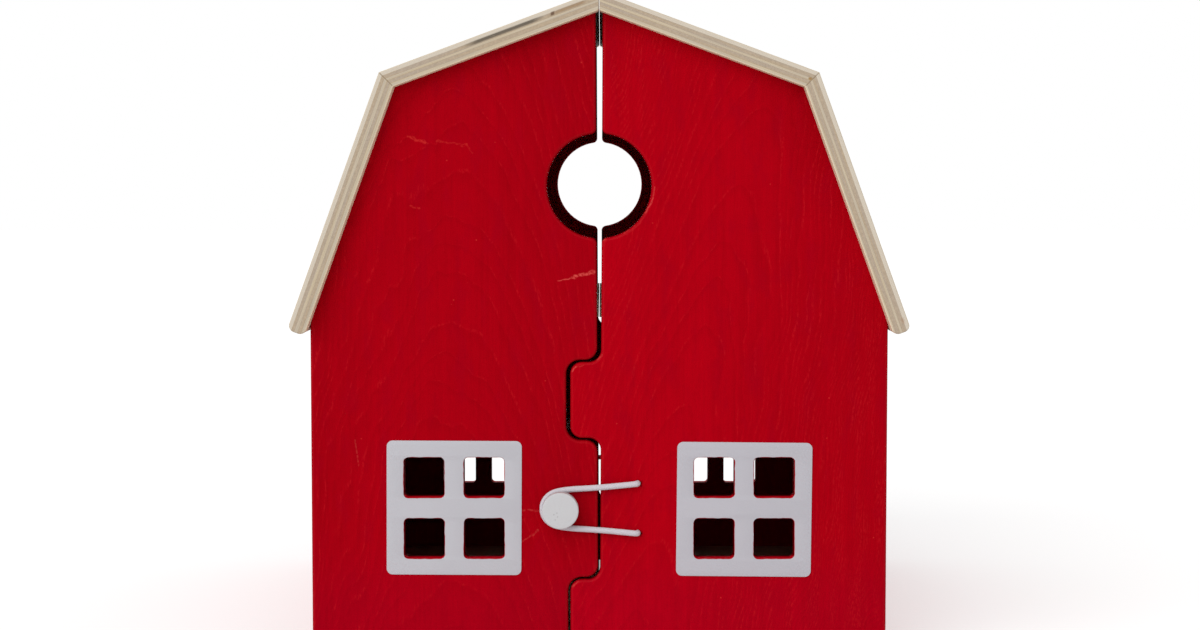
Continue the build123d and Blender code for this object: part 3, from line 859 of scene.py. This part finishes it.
def film_outlines(tilt, drop, seed):
    """Outline of a surround, then of its four openings, around the middle of the window."""
    outer = rounded_square(SURROUND_SIZE - 0.06, 2.7)
    turned = Matrix.Rotation(radians(tilt), 2)
    loops = [[turned @ point - Vector((0, drop)) for point in outer]]
    across = (PANE + UPRIGHT_BAR) / 2
    up = (PANE + CROSS_BAR) / 2
    for index, (x, z) in enumerate(((-1, -1), (1, -1), (-1, 1), (1, 1))):
        opening = hand_cut(rounded_square(PANE + 0.5, 2.3), PANE_UNEVENNESS, seed + index * 3.7)
        loops.append([point + Vector((x * across, z * up)) for point in opening])
    return loops


def film_mesh(name, loops):
    """Thin plate with eased edges, from its outline and the outlines of its openings."""
    curve = bpy.data.curves.new(name, "CURVE")
    curve.dimensions = "2D"
    curve.fill_mode = "BOTH"
    bevel = FILM_BEVEL * MM
    curve.extrude = SURROUND_THICKNESS / 2 * MM - bevel
    curve.bevel_depth = bevel
    curve.bevel_resolution = 2
    curve.offset = -bevel
    for loop in loops:
        spline = curve.splines.new("POLY")
        spline.points.add(len(loop) - 1)
        for point, target in zip(spline.points, loop):
            point.co = (target.x * MM, target.y * MM, 0.0, 1.0)
        spline.use_cyclic_u = True
    return mesh_of_curve(curve)


def window_surround(side, front, tilt, drop, seed, material):
    """Film of white paint round the four panes, a little tilted and with uneven openings."""
    gable = "tab" if front < 0 else "socket"
    mesh = film_mesh(side + "_film", film_outlines(tilt, drop, seed))
    upright = Matrix.Rotation(radians(90), 4, "X")
    out = Vector((WINDOW_OFFSET, -(FACE_Y + SURROUND_THICKNESS / 2), WINDOW_HEIGHT)) * MM
    if front * SIDES[side] > 0:
        upright = Matrix.Rotation(pi, 4, "Z") @ upright
        out.y = -out.y
    out.x *= SIDES[side]
    mesh.transform(Matrix.Translation(out) @ upright)
    mesh.materials.clear()
    mesh.materials.append(material)
    made = placed("%s_%s_window_paint" % (side, gable), mesh)
    tidy_mesh(made, 50)
    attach(made, side + "_half")
    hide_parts("%s_%s_gable_window_surround" % (side, gable))


def stopper_knot(height, direction):
    """Control points of an end behind the gable: a tail, two wraps round the standing part, the hole."""
    first = -INNER_Y + 1.5
    last = first + KNOT_LENGTH
    points = [
        (CATCH_OFFSET + 5.6, first + 2.6, height + direction * 3.8),
        (CATCH_OFFSET + 3.6, first + 0.9, height + direction * 2.9),
    ]
    steps = 15
    for step in range(steps + 1):
        angle = direction * radians(60 - 45 * step)
        y = first + KNOT_LENGTH * step / steps
        points.append((CATCH_OFFSET + KNOT_RADIUS * cos(angle), y, height + KNOT_RADIUS * sin(angle)))
    points += [(CATCH_OFFSET + 0.6, last + 2.3, height), (CATCH_OFFSET, last, height)]
    return points + [(CATCH_OFFSET, -INNER_Y, height)]


def elastic_control_points():
    """Route of the front elastic: an end, out of the upper hole, round the knob and back."""
    upper = WINDOW_HEIGHT + HOLE_SPACING / 2
    lower = WINDOW_HEIGHT - HOLE_SPACING / 2
    points = stopper_knot(upper, 1)
    points += [(CATCH_OFFSET, -FACE_Y + 1.0, upper), (CATCH_OFFSET - 0.1, STRAND_PLANE + 0.1, upper)]
    points += [(CATCH_OFFSET - 2.6, STRAND_PLANE, upper - 0.25), (0.0, STRAND_PLANE, upper - 1.72)]
    for degrees in (95, 140, 180, 220, 265):
        angle = radians(degrees)
        x = -CATCH_OFFSET + LOOP_CONTROL_RADIUS * cos(angle)
        points.append((x, STRAND_PLANE, WINDOW_HEIGHT + LOOP_CONTROL_RADIUS * sin(angle)))
    points += [(0.0, STRAND_PLANE, lower + 1.72), (CATCH_OFFSET - 2.6, STRAND_PLANE, lower + 0.25)]
    points += [(CATCH_OFFSET - 0.1, STRAND_PLANE + 0.1, lower), (CATCH_OFFSET, -FACE_Y + 1.0, lower)]
    return points + stopper_knot(lower, -1)[::-1]


def smooth_line(points):
    """Points on the smooth curve that the control points pull, in millimetres."""
    curve = bpy.data.curves.new("route", "CURVE")
    curve.dimensions = "3D"
    curve.resolution_u = 24
    spline = curve.splines.new("NURBS")
    spline.points.add(len(points) - 1)
    for point, target in zip(spline.points, points):
        point.co = (*target, 1.0)
    spline.order_u = 3
    spline.use_endpoint_u = True
    mesh = mesh_of_curve(curve)
    line = np.array([vertex.co for vertex in mesh.vertices])
    bpy.data.meshes.remove(mesh)
    return line


def evenly(line, step):
    """The line's points moved to equal distances, and the distance of each from the start."""
    runs = np.linalg.norm(np.diff(line, axis=0), axis=1)
    distance = np.concatenate([[0.0], np.cumsum(runs)])
    keep = np.concatenate([[True], runs > 1e-6])
    line, distance = line[keep], distance[keep]
    count = int(distance[-1] / step) + 1
    wanted = np.linspace(0.0, distance[-1], count)
    return np.stack([np.interp(wanted, distance, line[:, axis]) for axis in range(3)], 1), wanted


def carried_frames(line):
    """A pair of directions across the line at each point, carried along it without twisting."""
    tangents = np.gradient(line, axis=0)
    tangents /= np.linalg.norm(tangents, axis=1)[:, None]
    first = np.cross(tangents[0], (0.0, 0.0, 1.0))
    first /= np.linalg.norm(first)
    across = [first]
    for tangent in tangents[1:]:
        side = across[-1] - tangent * (across[-1] @ tangent)
        across.append(side / np.linalg.norm(side))
    across = np.array(across)
    return across, np.cross(tangents, across)


def braid_relief(angle, distance):
    """Height of a round braid's surface from 0 to 1: two families of strands that go over and under."""
    turns = angle / tau * BRAID_STRANDS
    run = distance / BRAID_PITCH
    one, other = turns + run, turns - run
    one_number, other_number = np.round(one), np.round(other)
    one_side = np.where(one_number % 2 == 0, 1.0, -1.0)
    other_side = np.where(other_number % 2 == 0, 1.0, -1.0)
    one_height = np.cos(pi * (one - one_number)) + 0.45 * one_side * np.cos(pi * other)
    other_height = np.cos(pi * (other - other_number)) - 0.45 * other_side * np.cos(pi * one)
    return np.clip(np.maximum(one_height, other_height) / 1.45, 0.0, 1.0)


def elastic(side, material):
    """Braided elastic with its two knotted ends, in one piece that bends where it leaves its holes."""
    line, distance = evenly(smooth_line(elastic_control_points()), STRAND_STEP)
    across, upwards = carried_frames(line)
    around = 56
    angles = np.arange(around) * tau / around
    grid_angle, grid_distance = np.meshgrid(angles, distance)
    radius = ELASTIC_RADIUS * (0.90 + 0.10 * braid_relief(grid_angle, grid_distance))
    inside = np.clip((line[:, 1] + INNER_Y) / 1.5, 0.0, 1.0)
    radius *= (1.0 - 0.16 * inside)[:, None]
    ends = np.clip(np.minimum(distance, distance[-1] - distance) / 0.6, 0.0, 1.0)
    radius *= (0.55 + 0.45 * np.sqrt(ends))[:, None]
    cosines, sines = np.cos(grid_angle)[:, :, None], np.sin(grid_angle)[:, :, None]
    ring = across[:, None, :] * cosines + upwards[:, None, :] * sines
    points = line[:, None, :] + ring * radius[:, :, None]
    turn = SIDES[side]
    vertices = points.reshape(-1, 3) * (turn, turn, 1)
    faces = tube_faces(len(line), around)
    faces.append(tuple(range(around))[::-1])
    faces.append(tuple(range((len(line) - 1) * around, len(line) * around)))
    made = mesh_object(side + "_braided_elastic", vertices, faces, material)
    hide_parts(side + "_elastic_loop", side + "_elastic_ends")
    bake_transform(made)


def camera():
    """The photograph's viewpoint: a long lens just above the middle of the house."""
    data = bpy.data.cameras.new("camera")
    data.lens = 67.29
    data.sensor_width = 36.0
    data.clip_start = 0.05
    data.clip_end = 60.0
    made = placed("camera", data)
    made.location = (0.0012, -1.1363, 0.216)
    made.rotation_euler = (radians(86.497), 0.0, radians(0.0456))
    bpy.context.scene.camera = made


def key_light(direction, level, width):
    """Soft light from far away, so that it is even over the whole floor. direction points towards it."""
    data = bpy.data.lights.new("key", "SUN")
    data.energy = level * pi
    data.angle = radians(width)
    placed("key", data).rotation_euler = Vector(direction).to_track_quat("Z", "Y").to_euler()


def seen_directly(tree):
    """1 for rays from the camera, from gloss and through glass, and 0 for light on surfaces."""
    path = tree.nodes.new("ShaderNodeLightPath")
    result = path.outputs["Is Camera Ray"]
    for kind in ("Is Glossy Ray", "Is Transmission Ray"):
        either = tree.nodes.new("ShaderNodeMath")
        either.operation = "MAXIMUM"
        tree.links.new(result, either.inputs[0])
        tree.links.new(path.outputs[kind], either.inputs[1])
        result = either.outputs[0]
    return result


def studio_world(level):
    """White surroundings that light the object at the given level."""
    world = bpy.data.worlds.new("studio")
    bpy.context.scene.world = world
    world.use_nodes = True
    tree = world.node_tree
    background = tree.nodes["Background"]
    background.inputs["Color"].default_value = rgba(WHITE)
    strength = tree.nodes.new("ShaderNodeMath")
    strength.operation = "MULTIPLY_ADD"
    tree.links.new(seen_directly(tree), strength.inputs[0])
    strength.inputs[1].default_value = 1.0 - level
    strength.inputs[2].default_value = level
    tree.links.new(strength.outputs[0], background.inputs["Strength"])


def studio_floor():
    """Pale floor that turns white where it is lit and keeps the object's shadow."""
    finish = Finish("floor_paper")
    glow = finish.product(seen_directly(finish.tree), FLOOR_GLOW)
    diffuse = finish.node("ShaderNodeBsdfDiffuse", {"Color": rgba(FLOOR), "Roughness": 0.0})
    emission = finish.node("ShaderNodeEmission", {"Color": rgba(WHITE), "Strength": glow})
    both = finish.node("ShaderNodeAddShader", {0: diffuse.outputs[0], 1: emission.outputs[0]})
    finish.node("ShaderNodeOutputMaterial", {0: both.outputs[0]})
    work = bmesh.new()
    bmesh.ops.create_grid(work, x_segments=8, y_segments=8, size=8.0)
    mesh = bpy.data.meshes.new("studio_floor")
    work.to_mesh(mesh)
    work.free()
    mesh.materials.append(finish.material)
    made = placed("studio_floor", mesh)
    made.location.z = -0.0002


# Marks on the front, some of them painted highlights and painted shade: start, end, width, strength and
# tint, with places as (across, along)
LEFT_MARKS = [
    ((18.5, 169.7), (10.0, 171.6), 0.45, 0.55, SCUFF_AND_HIGHLIGHT),
    ((11.0, 171.4), (2.3, 173.9), 1.0, 0.70, SCUFF_AND_HIGHLIGHT),
    ((34.8, 66.1), (27.6, 66.1), 0.5, 0.22, SCUFF_AND_HIGHLIGHT),
    ((34.9, 51.5), (27.6, 56.6), 0.6, 0.24, SCUFF_AND_HIGHLIGHT),
    ((110.1, 97.9), (108.4, 86.1), 0.5, 0.18, SCUFF_AND_HIGHLIGHT),
    ((85.5, 234.4), (77.0, 231.4), 0.9, 0.60, PALE_RED),
    ((72.6, 232.2), (59.2, 230.5), 0.7, 0.40, PALE_RED),
    ((59.2, 230.5), (56.7, 227.0), 0.6, 0.25, PALE_RED),
    ((84.6, 203.0), (80.6, 202.2), 0.7, 0.45, PALE_RED),
]
# On the right gable, the marks on the tabs' corners and round the round window's rim are painted highlights,
# and the two SHADE marks are painted shade beside the elastic's ends where they enter their holes
RIGHT_MARKS = [
    ((-12.0, 128.8), (-10.5, 131.3), 0.5, 0.50, SCUFF_AND_HIGHLIGHT),
    ((-10.5, 131.3), (-7.0, 132.2), 0.4, 0.22, SCUFF_AND_HIGHLIGHT),
    ((-1.0, 134.2), (1.3, 136.5), 0.5, 0.45, SCUFF_AND_HIGHLIGHT),
    ((-12.6, 30.6), (-9.4, 33.4), 0.5, 0.35, SCUFF_AND_HIGHLIGHT),
    ((-1.9, 35.5), (-0.1, 37.0), 0.5, 0.35, SCUFF_AND_HIGHLIGHT),
    ((24.9, 212.0), (24.2, 206.5), 0.4, 0.30, SCUFF_AND_HIGHLIGHT),
    ((24.2, 206.5), (21.9, 202.2), 0.5, 0.45, SCUFF_AND_HIGHLIGHT),
    ((21.9, 202.2), (18.4, 197.6), 0.5, 0.45, SCUFF_AND_HIGHLIGHT),
    ((16.0, 195.2), (10.7, 191.4), 0.5, 0.35, SCUFF_AND_HIGHLIGHT),
    ((1.2, 187.2), (3.0, 188.7), 0.5, 0.50, SCUFF_AND_HIGHLIGHT),
    ((42.0, 58.0), (44.5, 52.0), 0.5, 0.20, SCUFF_AND_HIGHLIGHT),
    ((19.1, 79.4), (19.1, 77.4), 0.7, 0.90, SHADE),
    ((19.1, 56.5), (19.1, 54.4), 0.7, 0.90, SHADE),
]

# Strength of the red through (across, strength) points, and ovals in which it differs
EVEN_TONE = [(0.0, 1.0), (65.0, 1.0)]
LEFT_TONE = [(0.0, 0.92), (30.0, 0.92), (60.0, 0.95), (100.0, 0.96), (128.0, 0.91)]
LEFT_PATCHES = [(25.0, 85.0, 32.0, 40.0, -0.06), (20.0, 275.0, 38.0, 32.0, -0.07)]
RIGHT_TONE = [(0.0, 1.08), (25.0, 1.05), (80.0, 1.00), (125.0, 0.95)]
# The first three ovals are painted shade: under the roof's overhang at the top right, under the ridge, and
# between the elastic's strands
RIGHT_PATCHES = [
    (116.0, 262.0, 58.0, 84.0, -0.30),
    (4.0, 284.0, 22.0, 34.0, -0.10),
    (2.0, 76.0, 16.0, 26.0, -0.09),
    (4.0, 165.0, 20.0, 50.0, 0.04),
]

# Stained boards: finish, side, front, figure (centre, lean, curve, ring spacing), seed, tone and marks
STAINED_BOARDS = {
    "left_socket_gable": (
        "left_front_stain", "left", 1, (66.5, 0.0, 25.3, 17.0), 3.0,
        LEFT_TONE, LEFT_PATCHES, LEFT_MARKS),
    "right_tab_gable": (
        "right_front_stain", "right", -1, (13.0, 0.24, 9.0, 24.0), 21.0,
        RIGHT_TONE, RIGHT_PATCHES, RIGHT_MARKS),
    "right_socket_gable": ("right_rear_stain", "right", 1, (48.0, 0.04, 30.0, 18.0), 37.0, EVEN_TONE),
    "left_tab_gable": ("left_rear_stain", "left", -1, (80.0, -0.05, 34.0, 16.0), 53.0, EVEN_TONE),
    "right_side_wall": ("right_wall_stain", "right", None, (20.0, 0.1, 60.0, 19.0), 71.0, EVEN_TONE),
    "left_side_wall": ("left_wall_stain", "left", None, (-35.0, -0.08, 55.0, 17.0), 89.0, EVEN_TONE),
}


def finish_boards():
    """Red stain on the gables and side walls, with painted light and shade on the gables; bare birch on the
    roof, the lofts and the floors.
    """
    for node_name, board in STAINED_BOARDS.items():
        dress(node_name, stained_board(*board))
    for slab in ROOF_SLABS:
        dress(slab + "_roof", roof_finish(slab))
    level = ((0, 1, 0), (1, 0, 0), (0, 0, 1))
    for side, seed in (("right", 45.0), ("left", 65.0)):
        dress(side + "_loft", bare_board(
            side + "_loft_birch", side, *level, LOFT_BOTTOM, LOFT_EDGES, (60.0, 0.0, 80.0, 26.0), seed))
        dress(side + "_floor", bare_board(
            side + "_floor_birch", side, *level, 0.0, PLY_EDGES, (55.0, 0.05, 75.0, 24.0), seed + 9.0))
        dress(side + "_dowels", hidden_wood(side + "_peg_wood", side))


def add_pieces():
    """The modelled pieces that stand for plain CAD solids."""
    front_face = -(FACE_Y + NECK_LENGTH + KNOB_THICKNESS)
    specks_on_knob = [
        (-CATCH_OFFSET + x, front_face, WINDOW_HEIGHT + z)
        for x, z in ((-2.86, -1.6), (-1.5, -0.86), (-1.18, -2.6), (-2.23, -3.95))
    ]
    left_film = painted("left_window_paint", LEFT_PAINT, 0.48, FILM_GLOSS, 4.0, 0.06)
    right_film = painted("right_window_paint", RIGHT_PAINT, 0.48, FILM_GLOSS, 14.0, 0.06)
    window_surround("left", 1, -0.3, -0.1, 2.0, left_film)
    window_surround("right", -1, -0.5, 0.6, 11.0, right_film)
    window_surround("right", 1, 0.2, 0.1, 23.0, right_film)
    window_surround("left", -1, -0.2, 0.2, 31.0, left_film)
    enamel = painted("knob_paint", WHITE_KNOB, 0.42, KNOB_GLOSS, 9.0, 0.0, specks_on_knob)
    braid = elastic_finish("elastic_textile")
    for side in SIDES:
        knob(side, enamel)
        elastic(side, braid)


bpy.context.scene.view_settings.view_transform = "Standard"
camera()
key_light((-0.6, -1.0, 0.6), KEY_LEVEL, 60.0)
studio_world(SKY_LEVEL)
studio_floor()
finish_boards()
add_pieces()
